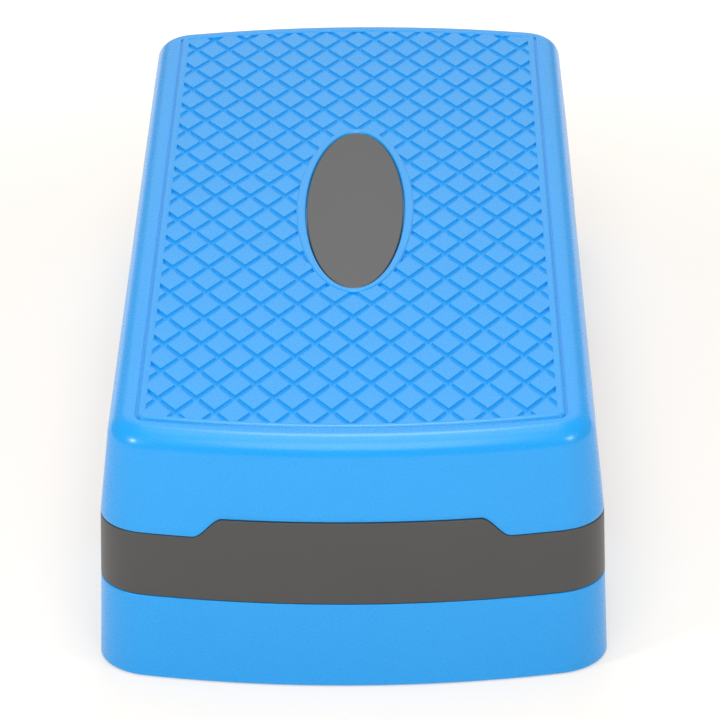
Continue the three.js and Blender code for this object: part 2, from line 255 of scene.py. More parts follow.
def add(tree, kind, links=None, **settings):
    """Adds a node, sets its settings, and fills its inputs from sockets or plain values."""
    node = tree.nodes.new(kind)
    for name, value in settings.items():
        setattr(node, name, value)
    for socket, source in (links or {}).items():
        for one in source if isinstance(source, list) else [source]:
            if isinstance(one, bpy.types.NodeSocket):
                tree.links.new(one, node.inputs[socket])
            else:
                node.inputs[socket].default_value = one
    return node


def new_tree(name, **inputs):
    """A geometry tree with a geometry input and output and further named inputs of the given types."""
    tree = bpy.data.node_groups.new(name, "GeometryNodeTree")
    tree.interface.new_socket("Geometry", in_out="INPUT", socket_type="NodeSocketGeometry")
    tree.interface.new_socket("Geometry", in_out="OUTPUT", socket_type="NodeSocketGeometry")
    for label, kind in inputs.items():
        label = label.replace("_", " ").capitalize()
        tree.interface.new_socket(label, in_out="INPUT", socket_type="NodeSocket" + kind)
    return tree, add(tree, "NodeGroupInput").outputs


def end_tree(tree, geometry, material):
    """Ends a tree: instances become real mesh, the material is set, and the result goes out."""
    real = add(tree, "GeometryNodeRealizeInstances", {"Geometry": geometry})
    painted = add(tree, "GeometryNodeSetMaterial", {"Geometry": real.outputs[0], "Material": material})
    add(tree, "NodeGroupOutput", {"Geometry": painted.outputs[0]})


def run_tree(piece, tree, **values):
    """Runs a tree on an object with the given inputs and leaves the result as the object's own mesh."""
    modifier = piece.modifiers.new(tree.name, "NODES")
    modifier.node_group = tree
    for item in tree.interface.items_tree:
        key = item.name.lower().replace(" ", "_")
        if item.in_out == "INPUT" and key in values:
            modifier[item.identifier] = values[key]
    evaluated = piece.evaluated_get(bpy.context.evaluated_depsgraph_get())
    mesh = bpy.data.meshes.new_from_object(evaluated)
    piece.modifiers.remove(modifier)
    old, piece.data = piece.data, mesh
    bpy.data.meshes.remove(old)
    print(piece.name, "after", tree.name, "has", len(mesh.polygons), "faces")


def metres(**sizes):
    """Sizes in millimetres, turned into metres for a tree's inputs."""
    return {name: size * MM for name, size in sizes.items()}


def forget(*helpers):
    """Deletes helper objects once their shape is used."""
    for helper in helpers:
        bpy.data.objects.remove(helper)


# %% [markdown]
# ## Blue and grey polypropylene
# Steps like this are injection moulded in polypropylene, a tough, slightly waxy plastic. Its index of
# refraction is about 1.49. The mould is spark-eroded to a fine satin grain, so the surface has soft
# wide highlights and no sharp reflections. The real grain is about 0.1 mm, too fine to show, so it
# is drawn at 0.6 mm. A second, much larger noise shifts the colour a little, as pigment
# does where the melt flowed. The patterns read Object coordinates, so they stay on the piece.

# %% Materials of moulded plastic

SHEEN_SPREAD = 0.05  # how much the grain changes the roughness
MIX_DARK, MIX_LIGHT, MIX_RESULT = 6, 7, 2  # the colour sockets of a Mix node


def linear(hex_colour):
    """Turns an sRGB hex colour into the linear values that shaders use."""
    parts = [int(hex_colour[i:i + 2], 16) / 255 for i in (1, 3, 5)]
    return (*(p / 12.92 if p <= 0.04045 else ((p + 0.055) / 1.055) ** 2.4 for p in parts), 1)


def new_material(name):
    """An empty material: its tree, ready for nodes, and the piece's own coordinates."""
    material = bpy.data.materials.new(name)
    material.use_nodes = True
    material.node_tree.nodes.clear()
    place = add(material.node_tree, "ShaderNodeTexCoord").outputs["Object"]
    return material, material.node_tree, place


def moulded(name, light, dark, roughness, ior, grain_mm=0.6, grain_depth_mm=0.012, flow_mm=45):
    """A moulded plastic or rubber: flow marks in its colour, satin grain in its surface."""
    material, tree, place = new_material(name)
    flow = add(tree, "ShaderNodeTexNoise", {
        "Vector": place, "Scale": 1 / (flow_mm * MM), "Detail": 3, "Distortion": 0.6,
    })
    colour = add(tree, "ShaderNodeMix", {
        "Factor": flow.outputs["Fac"], MIX_DARK: linear(dark), MIX_LIGHT: linear(light),
    }, data_type="RGBA")
    grain = add(tree, "ShaderNodeTexNoise", {"Vector": place, "Scale": 1 / (grain_mm * MM), "Detail": 2})
    relief = add(tree, "ShaderNodeBump", {
        "Height": grain.outputs["Fac"], "Distance": grain_depth_mm * MM, "Strength": 1,
    })
    sheen = add(tree, "ShaderNodeMapRange", {
        "Value": grain.outputs["Fac"],
        "To Min": roughness - SHEEN_SPREAD,
        "To Max": roughness + SHEEN_SPREAD,
    })
    surface = add(tree, "ShaderNodeBsdfPrincipled", {
        "Base Color": colour.outputs[MIX_RESULT],
        "Roughness": sheen.outputs[0],
        "Normal": relief.outputs[0],
        "IOR": ior,
    })
    add(tree, "ShaderNodeOutputMaterial", {"Surface": surface.outputs[0]})
    return material


# The blue is the glossiest: its rounded edges carry clear, soft bands of light.
DECK_BLUE = moulded("blue polypropylene, satin moulded", "#169AE6", "#1197E3", 0.28, 1.49)
# The grey band is duller, so it stays an even dark grey between the two blues.
FOOT_GREY = moulded("grey polypropylene, satin moulded", "#444444", "#404040", 0.42, 1.49)
# The plate's finer, matte grain scatters the light, which makes it look paler than the band.
BADGE_GREY = moulded("grey ABS, fine matte moulded", "#555555", "#515151", 0.55, 1.53, grain_mm=0.4)
# Rubber is nearly black and has no shine, with a coarse, patchy skin.
PAD_RUBBER = moulded(
    "black rubber, moulded", "#232426", "#1C1D1F", 0.8, 1.52,
    grain_mm=0.8, grain_depth_mm=0.03, flow_mm=8,
)
print("materials:", [m.name for m in (DECK_BLUE, FOOT_GREY, BADGE_GREY, PAD_RUBBER)])

# %% [markdown]
# ## Ribs, posts and holes
# A thin plate of plastic bends unless ribs stiffen it. On the real mouldings, a grid of ribs hangs under
# each plate and hollow posts take the load at the pads and screws. Two trees make them. The first
# lays bars out in both directions, trims them to the hollow of the moulding, and joins them to it.
# The second joins a post at each given place and then drills a hole in it.

# %% Steps that the trees share


def boolean(tree, operation, first, second):
    """Joins, trims or cuts two closed geometries."""
    if operation == "DIFFERENCE":
        both = {"Mesh 1": first, "Mesh 2": second}
    else:
        both = {"Mesh 2": [first, second]}
    return add(tree, "GeometryNodeMeshBoolean", both, operation=operation, solver="MANIFOLD").outputs["Mesh"]


def maths(tree, operation, first, second):
    """The result of a sum on two numbers or sockets."""
    return add(tree, "ShaderNodeMath", {0: first, 1: second}, operation=operation).outputs[0]


def vector(tree, x=0.0, y=0.0, z=0.0):
    """Three numbers or sockets as one vector."""
    return add(tree, "ShaderNodeCombineXYZ", {"X": x, "Y": y, "Z": z}).outputs[0]


def shape_of(tree, source):
    """The mesh of an object that is given to the tree."""
    return add(tree, "GeometryNodeObjectInfo", {"Object": source}).outputs["Geometry"]


def moved(tree, geometry, by):
    """A geometry, moved by a vector."""
    return add(tree, "GeometryNodeTransform", {"Geometry": geometry, "Translation": by}).outputs[0]


def row(tree, count, pitch, along_x):
    """Points in a centred row along X or along Y."""
    gaps = maths(tree, "SUBTRACT", count, 1)
    start = maths(tree, "MULTIPLY", maths(tree, "MULTIPLY", gaps, pitch), -0.5)
    axis = "x" if along_x else "y"
    ends = {"Start Location": vector(tree, **{axis: start}), "Offset": vector(tree, **{axis: pitch})}
    return add(tree, "GeometryNodeMeshLine", {"Count": count, **ends}).outputs[0]


def copies(tree, points, shape, turned=(0, 0, 0)):
    """A real copy of a shape at every point."""
    placed = add(tree, "GeometryNodeInstanceOnPoints", {
        "Points": points, "Instance": shape, "Rotation": turned,
    })
    return add(tree, "GeometryNodeRealizeInstances", {"Geometry": placed.outputs[0]}).outputs[0]


# %% The rib tree

PAST_ALL = 1.0  # metres: longer than any moulding, because the ribs are trimmed afterwards


def bars(tree, points, x, y, z):
    """A bar of the given size at every point."""
    bar = add(tree, "GeometryNodeMeshCube", {"Size": vector(tree, x, y, z)})
    return copies(tree, points, bar.outputs[0])


def rib_tree():
    tree, given = new_tree(
        "Ribs", hollow="Object", cross_ribs="Int", cross_pitch="Float", long_ribs="Int",
        long_pitch="Float", thickness="Float", depth="Float", middle="Vector", material="Material",
    )
    thickness, depth = given["Thickness"], given["Depth"]
    cross_points = row(tree, given["Cross ribs"], given["Cross pitch"], along_x=False)
    long_points = row(tree, given["Long ribs"], given["Long pitch"], along_x=True)
    crossing = bars(tree, cross_points, PAST_ALL, thickness, depth)
    running = bars(tree, long_points, thickness, PAST_ALL, depth)
    grid = moved(tree, boolean(tree, "UNION", crossing, running), given["Middle"])
    trimmed = boolean(tree, "INTERSECT", grid, shape_of(tree, given["Hollow"]))
    end_tree(tree, boolean(tree, "UNION", given["Geometry"], trimmed), given["Material"])
    return tree


RIBS = rib_tree()
print("the rib tree has", len(RIBS.nodes), "nodes")

# %% The post tree


def upright(tree, radius, bottom, top):
    """A round bar standing on Z between two heights."""
    height = maths(tree, "SUBTRACT", top, bottom)
    bar = add(tree, "GeometryNodeMeshCylinder", {"Vertices": 32, "Radius": radius, "Depth": height})
    centre = maths(tree, "MULTIPLY", maths(tree, "ADD", top, bottom), 0.5)
    return moved(tree, bar.outputs[0], vector(tree, z=centre))


def post_tree():
    tree, given = new_tree(
        "Posts", places="Object", radius="Float", bottom="Float", top="Float",
        hole_radius="Float", hole_bottom="Float", hole_top="Float", material="Material",
    )
    points = shape_of(tree, given["Places"])
    post = upright(tree, given["Radius"], given["Bottom"], given["Top"])
    hole = upright(tree, given["Hole radius"], given["Hole bottom"], given["Hole top"])
    joined = boolean(tree, "UNION", given["Geometry"], copies(tree, points, post))
    drilled = boolean(tree, "DIFFERENCE", joined, copies(tree, points, hole))
    end_tree(tree, drilled, given["Material"])
    return tree


POSTS = post_tree()
print("the post tree has", len(POSTS.nodes), "nodes")

# %% [markdown]
# ## The deck's shell
# The deck is one moulding, about 3 mm thick, open underneath. Its lower edge is level except where it
# rises: over the raised tab of each end foot, and over a hand grip in each long side. The same
# smooth step serves both. The skin runs from under the top plate, down inside the wall, round the
# lower edge, up the outside, and over the rounded shoulder to the flat face.

# %% The seam's height and the walls' lean

EDGE_RUN = 17  # length of the slope beside a raised stretch
EDGE_LIFT_START = 3  # the slope starts this far before the crest
END_ZONE = HALF_LENGTH - 40  # only the end faces lie beyond this


def raised(distance, crest):
    """0 outside a raised stretch and 1 inside it, with a smooth slope just past its crest."""
    t = np.clip((crest - EDGE_LIFT_START + EDGE_RUN - distance) / EDGE_RUN, 0, 1)
    return t * t * (3 - 2 * t)


def seam(outline):
    """The height of the seam between a foot and the deck, at each point of an outline."""
    x, y = np.abs(outline[0]).T
    at_end = raised(x, TAB_HALF) * (y > END_ZONE)
    at_grip = raised(y, GRIP_HALF) * (y < INNER_Y)
    return SHOULDER + TAB_RISE * np.maximum(at_end, at_grip)


def wall_inset(height, low, low_inset, high, high_inset):
    """How far a leaning wall stands in at a height between two levels."""
    return low_inset + (np.asarray(height) - low) / (high - low) * (high_inset - low_inset)


def wall_rows(bottom, top, inset_at, rows):
    """(inset, height) pairs evenly up a wall from its bottom edge to its top."""
    heights = [bottom + (top - bottom) * i / rows for i in range(rows + 1)]
    return [(inset_at(height), height) for height in heights]


deck_edge = seam(DECK_OUTLINE)
print("deck wall starts between", round(deck_edge.min(), 1), "and", round(deck_edge.max(), 1))

# %% Make the deck's shell

SHOULDER_TOP = DECK_FACE - FILLET
UNDER_PLATE = DECK_FACE - PLATE
HOLLOW_TOP = DECK_LEAN + WALL + FILLET * 0.6  # inset of the hollow at the plate, behind the rounding
FLAT_RIM = 0.3  # a narrow flat ring that keeps the rounding's shading off the flat face


def deck_inset(height):
    return wall_inset(height, SHOULDER, FOOT_LEAN, SHOULDER_TOP, DECK_LEAN)


deck_shell = sweep("deck_moulding", DECK_OUTLINE, [
    (HOLLOW_TOP, UNDER_PLATE),
    (DECK_LEAN + WALL, SHOULDER_TOP),
    (deck_inset(deck_edge) + WALL, deck_edge),
    (deck_inset(deck_edge) + EDGE, deck_edge),
    (deck_inset(deck_edge) + EDGE * EDGE_SHARE, deck_edge + EDGE * EDGE_SHARE),
    *wall_rows(deck_edge + EDGE, SHOULDER_TOP, deck_inset, 12),
    *fillet(DECK_LEAN + FILLET, SHOULDER_TOP, FILLET, 0, 90, 14)[1:],
    (DECK_LEAN + FILLET + FLAT_RIM, DECK_FACE),
])
print("deck shell has", len(deck_shell.data.polygons), "faces")

# %% [markdown]
# ## The hollow, ribs and bosses under the deck
# The ribs stop where the hollow stops, so the hollow's own shape, grown 1 mm into the walls, trims
# them. Eight bosses take the screws that hold the feet.

# %% Places taken from the working model


def places(name, centres):
    """An object that only holds points, for a tree to put things at."""
    return make_object(name, centres, [], [])


def middle_of(node):
    low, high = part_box(node)
    return [(a + b) / 2 / MM for a, b in zip(low, high)]


def ground_plan(nodes):
    """The X and Y of each piece's middle, as points at height 0."""
    return [[*middle_of(node)[:2], 0] for node in nodes]


def numbered(name):
    """The names of a set of four equal pieces."""
    return [f"{name}_{i}" for i in range(1, 5)]


def drill_posts(piece, nodes, material, post, hole):
    """A drilled post at each node's middle. post and hole are (radius, bottom, top)."""
    spots = places("post places", ground_plan(nodes))
    sizes = metres(
        radius=post[0], bottom=post[1], top=post[2],
        hole_radius=hole[0], hole_bottom=hole[1], hole_top=hole[2],
    )
    run_tree(piece, POSTS, places=spots, material=material, **sizes)
    forget(spots)


ALL_SCREWS = numbered("front_screw") + numbered("back_screw")
print("screws:", len(ALL_SCREWS))

# %% Stiffen the deck

RIB = 2.6
DECK_RIB_DEPTH = 20 + OVERLAP
DECK_RIB_PITCH_X = 62
DECK_RIB_PITCH_Y = 86
BOSS_RADIUS = 8
SCREW_HOLE = 2.35
BOSS_HOLE_DEPTH = 22

deck_hollow = sweep("deck hollow", DECK_OUTLINE, [
    (FOOT_LEAN + WALL - OVERLAP, SHOULDER),
    (DECK_LEAN + WALL - OVERLAP, SHOULDER_TOP),
    (HOLLOW_TOP - OVERLAP, UNDER_PLATE + OVERLAP),
])
run_tree(
    deck_shell, RIBS, hollow=deck_hollow, cross_ribs=7, long_ribs=3, material=DECK_BLUE,
    middle=(0, 0, (UNDER_PLATE + OVERLAP - DECK_RIB_DEPTH / 2) * MM),
    **metres(
        cross_pitch=DECK_RIB_PITCH_Y, long_pitch=DECK_RIB_PITCH_X, thickness=RIB, depth=DECK_RIB_DEPTH,
    ),
)
drill_posts(
    deck_shell, ALL_SCREWS, DECK_BLUE,
    post=(BOSS_RADIUS, FOOT_PLATE + GAP, DECK_FACE - OVERLAP),
    hole=(SCREW_HOLE, FOOT_PLATE - OVERLAP, FOOT_PLATE + BOSS_HOLE_DEPTH),
)
forget(deck_hollow)

# %% [markdown]
# ## The tread
# The top carries a border ridge, a raised rim round the badge, and between them a field of lozenges. The
# ridge is crowned, so it shows one thin line of light, and a fine channel outside it shows one thin
# dark line. Each part is swept round its own outline and joined to the shell, or cut out of it. The
# channel is first cut as one shallow pan, and the field then fills all of it but its outer edge.

# %% Outlines of the border and the badge

RIDGE_INSET = 25.3
RIDGE_CORNER = 5
BADGE_HALF_WIDTH = side("badge", 1, 0)
BADGE_HALF_LENGTH = side("badge", 1, 1)
BADGE_RIM = 6.4  # from the badge's edge to the outside of the rim


def border_outline(inset, corner):
    """The deck's outline at an inset, but with its own small corners."""
    bow_radius = END_RADIUS - inset
    bow_centre = HALF_LENGTH - END_RADIUS
    x = HALF_WIDTH - inset - corner
    y = bow_centre + math.sqrt((bow_radius - corner) ** 2 - x**2)
    angle = math.atan2(y - bow_centre, x)
    opening = math.pi - 2 * angle
    return closed(
        arc(x, y, corner, 0, angle, 10),
        arc(0, bow_centre, bow_radius, angle, angle + opening, 90),
        arc(-x, y, corner, math.pi - angle, math.pi, 10),
        arc(-x, -y, corner, math.pi, math.pi + angle, 10),
        arc(0, -bow_centre, bow_radius, math.pi + angle, math.pi + angle + opening, 90),
        arc(x, -y, corner, TAU - angle, TAU, 10),
    )


def badge_outline(outset, steps=160):
    """The badge's oval, grown by an outset."""
    half_width = BADGE_HALF_WIDTH + outset
    half_length = BADGE_HALF_LENGTH + outset
    angles = np.linspace(0, TAU, steps, endpoint=False)
    points = np.stack([half_width * np.cos(angles), half_length * np.sin(angles)], 1)
    inwards = -np.stack([np.cos(angles) / half_width, np.sin(angles) / half_length], 1)
    return points, inwards / np.linalg.norm(inwards, axis=1)[:, None]


BORDER = border_outline(RIDGE_INSET, RIDGE_CORNER)
RIM = badge_outline(BADGE_RIM)
print("points round the border:", len(BORDER[0]), "and round the rim:", len(RIM[0]))

# %% Make the plain field, its border and the badge's rim

RIDGE_WIDTH = 4.2
RIDGE_CROWN = 4  # radius of the ridge's top
CROWN_START = 56  # degrees: the crown rises out of the margin here
CROWN_END = 117  # and runs down to the tread here
CHANNEL_WIDTH = 1.5
CHANNEL_DEPTH = 0.8
RIM_EDGE = 1.1  # radius of the rim's outer edge
BADGE_GAP = 0.75
RIM_FLARE = 1  # how far the rim's inner edge opens out near its top

channel = sweep("channel outside the border", BORDER, [
    (-CHANNEL_WIDTH, DECK_FACE - CHANNEL_DEPTH),
    (-CHANNEL_WIDTH, DECK_FACE + OVERLAP),
], smooth=False)
field = sweep("tread field", BORDER, [
    (-HAIR, DECK_FACE - 2 * OVERLAP),
    *fillet(RIDGE_WIDTH / 2, DECK_TOP - RIDGE_CROWN, RIDGE_CROWN, CROWN_START, CROWN_END, 11),
    (RIDGE_WIDTH, TREAD_FACE),
])
rim = sweep("badge rim", RIM, [
    (0, UNDER_PLATE - PLATE),
    *fillet(RIM_EDGE, DECK_TOP - RIM_EDGE, RIM_EDGE, 0, 90, 6),
])
pocket = sweep("badge pocket", badge_outline(BADGE_GAP), [
    (0, side("badge", 0, 2) - GAP),
    (0, DECK_TOP - RIM_FLARE),
    (-0.3 * RIM_FLARE, DECK_TOP - 0.4 * RIM_FLARE),
    (-RIM_FLARE, DECK_TOP),
    (-RIM_FLARE, DECK_TOP + 2 * OVERLAP),
])
print("field of", len(field.data.polygons), "faces, rim of", len(rim.data.polygons))

# %% Join them to the deck


def join_tree():
    tree, given = new_tree(
        "Join", cut_first="Object", added="Object", cut_last="Object", material="Material",
    )
    opened = boolean(tree, "DIFFERENCE", given["Geometry"], shape_of(tree, given["Cut first"]))
    joined = boolean(tree, "UNION", opened, shape_of(tree, given["Added"]))
    cut = boolean(tree, "DIFFERENCE", joined, shape_of(tree, given["Cut last"]))
    end_tree(tree, cut, given["Material"])
    return tree


JOIN = join_tree()
run_tree(deck_shell, JOIN, cut_first=channel, added=field, cut_last=pocket, material=DECK_BLUE)
run_tree(deck_shell, JOIN, cut_first=pocket, added=rim, cut_last=pocket, material=DECK_BLUE)
forget(channel, field, rim, pocket)

# %% [markdown]
# ## The grooves between the lozenges
# On the real moulding the lozenges are what is left between two sets of parallel grooves, so they are
# made that way: a row of long bars is cut out of the plain field, and a second row at the mirrored
# angle. A groove has a round floor and a soft lip, and it stops dead at the border and at the rim.
# A bump pattern would be quicker, but it could not give the dark floors and the sharp stops, and
# the tread has to be real shape when the model is exported.

# %% A bar with the groove's section

LOZENGE_WIDTH = 21.7
LOZENGE_LENGTH = 36.3
GROOVE_ANGLE = math.atan2(LOZENGE_WIDTH, LOZENGE_LENGTH)
GROOVE_HALF = 1.8  # half width at the lip
GROOVE_DEPTH = 1.65
GROOVE_FLOOR = TREAD_FACE - GROOVE_DEPTH
GROOVE_LIP = 0.45  # how far the soft lip runs out on each side
GROOVE_SIDE = 0.3  # height of the lip above the round floor
FLOOR_ANGLES = (18, 45, 68, 84)  # degrees round the floor, from the middle to the lip
BAR_HALF = 480  # longer than the tread's diagonal


def groove_bar():
    """A long bar along Y with the groove's section: round floor and soft lips."""
    half = [
        (GROOVE_HALF * math.sin(a), GROOVE_FLOOR + (GROOVE_DEPTH - GROOVE_SIDE) * (1 - math.cos(a)))
        for a in np.radians(FLOOR_ANGLES)
    ]
    half += [
        (GROOVE_HALF + GROOVE_LIP * EDGE_SHARE, TREAD_FACE - HAIR),
        (GROOVE_HALF + GROOVE_LIP, TREAD_FACE),
        (GROOVE_HALF + GROOVE_LIP + 2 * HAIR, TREAD_FACE + OVERLAP),
    ]
    section = half + [(-x, z) for x, z in reversed(half)]
    vertices = [(x, y, z) for y in (-BAR_HALF, BAR_HALF) for x, z in section]
    count = len(section)
    sides = [(i + count, (i + 1) % count + count, (i + 1) % count, i) for i in range(count)]
    ends = [tuple(range(count)), tuple(range(count, 2 * count))[::-1]]
    return make_object("groove bar", vertices, sides + ends, [False] * (count + 2))


bar = groove_bar()
print("groove", 2 * GROOVE_HALF, "mm wide and", GROOVE_DEPTH, "mm deep")

# %% Cut the grooves

GROOVES_EACH_WAY = 32


def groove_tree():
    tree, given = new_tree(
        "Grooves", bar="Object", inside_border="Object", rim="Object", number="Int",
        pitch="Float", angle="Float", material="Material",
    )
    inside = shape_of(tree, given["Inside border"])
    rim_shape = shape_of(tree, given["Rim"])
    bar_shape = shape_of(tree, given["Bar"])
    line = row(tree, given["Number"], given["Pitch"], along_x=True)
    carved = given["Geometry"]
    for hand in (1, -1):
        angle = maths(tree, "MULTIPLY", given["Angle"], hand)
        one_way = copies(tree, line, bar_shape, vector(tree, z=angle))
        cutter = boolean(tree, "INTERSECT", one_way, inside)
        carved = boolean(tree, "DIFFERENCE", carved, boolean(tree, "DIFFERENCE", cutter, rim_shape))
    end_tree(tree, carved, given["Material"])
    return tree


inside_border = sweep("inside border", BORDER, [
    (RIDGE_WIDTH + HAIR, GROOVE_FLOOR - OVERLAP),
    (RIDGE_WIDTH + HAIR, DECK_TOP + 3 * OVERLAP),
], smooth=False)
rim_keep = sweep("rim keep", RIM, [
    (-HAIR, GROOVE_FLOOR - 2 * OVERLAP),
    (-HAIR, DECK_TOP + 4 * OVERLAP),
], smooth=False)
run_tree(
    deck_shell, groove_tree(), bar=bar, inside_border=inside_border, rim=rim_keep,
    number=GROOVES_EACH_WAY, angle=GROOVE_ANGLE, material=DECK_BLUE, **metres(pitch=LOZENGE_WIDTH),
)
forget(bar, inside_border, rim_keep)
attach(deck_shell, "platform")
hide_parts("deck")

# %% [markdown]
# ## The badge
# A separate oval plate of grey plastic sits in the pocket with a dark, hair-thin gap round it. A maker
# would print a mark here; this one is plain. Its edge is broken by a small round, which catches light.

# %% Make the badge

badge = sweep("badge_plate", badge_outline(0), [
    (0, side("badge", 0, 2)),
    (0, TREAD_FACE - EDGE),
    *fillet(EDGE, TREAD_FACE - EDGE, EDGE, 20, 90, 5),
    (EDGE + 2 * HAIR, TREAD_FACE),
])
badge.data.materials.append(BADGE_GREY)
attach(badge, "platform")
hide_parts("badge")
print("badge", round(2 * BADGE_HALF_WIDTH), "by", round(2 * BADGE_HALF_LENGTH), "mm")

# %% [markdown]
# ## Grey feet and blue risers
# Both are open-bottomed trays on the foot's outline. A riser has a flat top with four round dimples,
# where the foot's own pads stand. A foot has a lip above, which stands inside the deck. Its outer wall
# ends at the seam, a clearance below the deck's edge, so the raised tab fits its cut. The far pair is
# the near pair turned half a turn.

# %% Shapes of a foot and a riser


def foot_inset(height):
    return wall_inset(height, FOOT_BASE, RISER_LEAN, SHOULDER, FOOT_LEAN)


def riser_inset(height):
    return wall_inset(height, WALL_FOOT, OUTLINE_GAP, RISER_TOP, RISER_LEAN)


def upper_edge(inset, height):
    """(inset, height) pairs that break an outer edge at the top of a wall."""
    return [
        (inset, height - EDGE),
        (inset + EDGE * EDGE_SHARE, height - EDGE * EDGE_SHARE),
        (inset + EDGE, height),
    ]


def lower_edge(inset, height):
    """(inset, height) pairs that break an outer edge at the foot of a wall."""
    return [
        (inset + EDGE, height),
        (inset + EDGE * EDGE_SHARE, height + EDGE * EDGE_SHARE),
        (inset, height + EDGE),
    ]


def make_foot():
    spigot = WALL + deck_inset(SPIGOT_TOP) + GAP
    top = seam(FOOT_OUTLINE) - GAP
    inside = WALL + FOOT_LEAN
    return sweep("front_foot_moulding", FOOT_OUTLINE, [
        (inside, FOOT_PLATE - WALL),
        (inside, FOOT_BASE),
        *lower_edge(RISER_LEAN, FOOT_BASE),
        *wall_rows(FOOT_BASE + 2 * EDGE, top - 2 * EDGE, foot_inset, 8),
        *upper_edge(foot_inset(top), top),
        (spigot, top),
        (spigot, SPIGOT_TOP),
        (spigot + WALL, SPIGOT_TOP),
        (spigot + WALL, FOOT_PLATE),
    ])


def make_riser():
    return sweep("front_riser_moulding", FOOT_OUTLINE, [
        (WALL + RISER_LEAN, RISER_TOP - WALL),
        (WALL, WALL_FOOT),
        *lower_edge(riser_inset(WALL_FOOT), WALL_FOOT),
        *wall_rows(WALL_FOOT + 2 * EDGE, RISER_TOP - 2 * EDGE, riser_inset, 8),
        *upper_edge(RISER_LEAN, RISER_TOP),
    ])


front_foot = make_foot()
front_riser = make_riser()
print("foot and riser shells:", len(front_foot.data.polygons), len(front_riser.data.polygons), "faces")

# %% Ribs and posts for the pads

PAD_RADIUS = 13
POST_RADIUS = 17
SOCKET_ROOM = 2  # how far a socket's drill starts below the pad
FOOT_RIB_DEPTH = 14
FOOT_RIB_PITCH_X = 96
RIB_END = WALL + 1.5  # inset at which a foot's ribs end, inside its walls


def stiffen(piece, plate, pads, post_bottom, material):
    """Ribs and four posts under the plate of a foot or riser, with a socket in each post for its pad."""
    middle = sum(middle_of(pad)[1] for pad in pads) / len(pads)
    hollow = sweep("foot hollow", FOOT_OUTLINE, [
        (RIB_END, plate - WALL - FOOT_RIB_DEPTH + OVERLAP),
        (RIB_END, plate - OVERLAP),
    ])
    run_tree(
        piece, RIBS, hollow=hollow, cross_ribs=1, long_ribs=2, material=material,
        middle=(0, middle * MM, (plate - OVERLAP - FOOT_RIB_DEPTH / 2) * MM),
        **metres(long_pitch=FOOT_RIB_PITCH_X, thickness=RIB, depth=FOOT_RIB_DEPTH),
    )
    forget(hollow)
    drill_posts(
        piece, pads, material,
        post=(POST_RADIUS, post_bottom, plate - OVERLAP),
        hole=(PAD_RADIUS + GAP, side(pads[0], 0, 2) - SOCKET_ROOM, side(pads[0], 1, 2) + GAP),
    )


stiffen(front_foot, FOOT_PLATE, numbered("front_foot_pad"), FOOT_BASE, FOOT_GREY)
stiffen(front_riser, RISER_TOP, numbered("front_riser_pad"), WALL_FOOT, DECK_BLUE)

# %% Screw holes in the foot and dimples in the riser

SCREW_POST = 6  # radius of the thickening round a screw hole
SCREW_HOLE_LOW = 10  # how far below the plate's top a screw hole starts
DIMPLE = 2.4
DIMPLE_RADIUS = 14
DIMPLE_POST = 16  # radius of the thickening under a dimple
DIMPLE_BACKING = 8  # how deep that thickening goes

drill_posts(
    front_foot, numbered("front_screw"), FOOT_GREY,
    post=(SCREW_POST, FOOT_PLATE - WALL - OVERLAP, FOOT_PLATE - OVERLAP),
    hole=(SCREW_HOLE, FOOT_PLATE - SCREW_HOLE_LOW, FOOT_PLATE + 2 * OVERLAP),
)
drill_posts(
    front_riser, numbered("front_foot_pad"), DECK_BLUE,
    post=(DIMPLE_POST, RISER_TOP - DIMPLE_BACKING, RISER_TOP - OVERLAP),
    hole=(DIMPLE_RADIUS, RISER_TOP - DIMPLE, RISER_TOP + OVERLAP),
)

# %% Turn the far pair and place all four


def half_turn(name, original):
    """A copy of a piece, turned half a turn about the middle of the step, with its place in its mesh."""
    twin = bpy.data.objects.new(name, original.data.copy())
    twin.data.transform(Matrix.Rotation(math.pi, 4, "Z"))
    bpy.context.scene.collection.objects.link(twin)
    return twin


back_foot = half_turn("back_foot_moulding", front_foot)
back_riser = half_turn("back_riser_moulding", front_riser)
for piece, body, node, slot in (
    (front_foot, "platform", "front_foot", "foot_plastic"),
    (back_foot, "platform", "back_foot", "foot_plastic"),
    (front_riser, "front_riser", "front_riser", "riser_plastic"),
    (back_riser, "back_riser", "back_riser", "riser_plastic"),
):
    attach(piece, body)
    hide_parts(node)
    print(node, len(piece.data.polygons), "faces")

# %% [markdown]
# ## Rubber pads
# Each riser and each foot stands on four round pads, pushed into sockets in the posts. A pad is a turned
# shape with two shallow rings in its sole, so its half profile is swept round a circle once, and a
# tree copies it to every place.

# %% Make the pads

SOLE_RINGS = ((9, 6), (4.5, 2))  # insets of each ring's inner and outer edge
RING_SLOPE = 0.6
RING_DEPTH = 0.5
PAD_ROUND = 1


def circle(radius, steps=32):
    angles = np.linspace(0, TAU, steps, endpoint=False)
    out = np.stack([np.cos(angles), np.sin(angles)], 1)
    return radius * out, -out


def pad_profile(height):
    """From the middle of the sole outwards, and up the pad's side."""
    profile = []
    for inner, outer in SOLE_RINGS:
        profile += [
            (inner, 0),
            (inner - RING_SLOPE, RING_DEPTH),
            (outer + RING_SLOPE, RING_DEPTH),
            (outer, 0),
        ]
    profile.append((PAD_ROUND, 0))
    profile += fillet(PAD_ROUND, PAD_ROUND, PAD_ROUND, -90, 0, 5)[1:]
    return profile + [(0, height)]


def copies_tree():
    tree, given = new_tree("Copies", shape="Object", material="Material")
    end_tree(tree, copies(tree, given["Geometry"], shape_of(tree, given["Shape"])), given["Material"])
    return tree


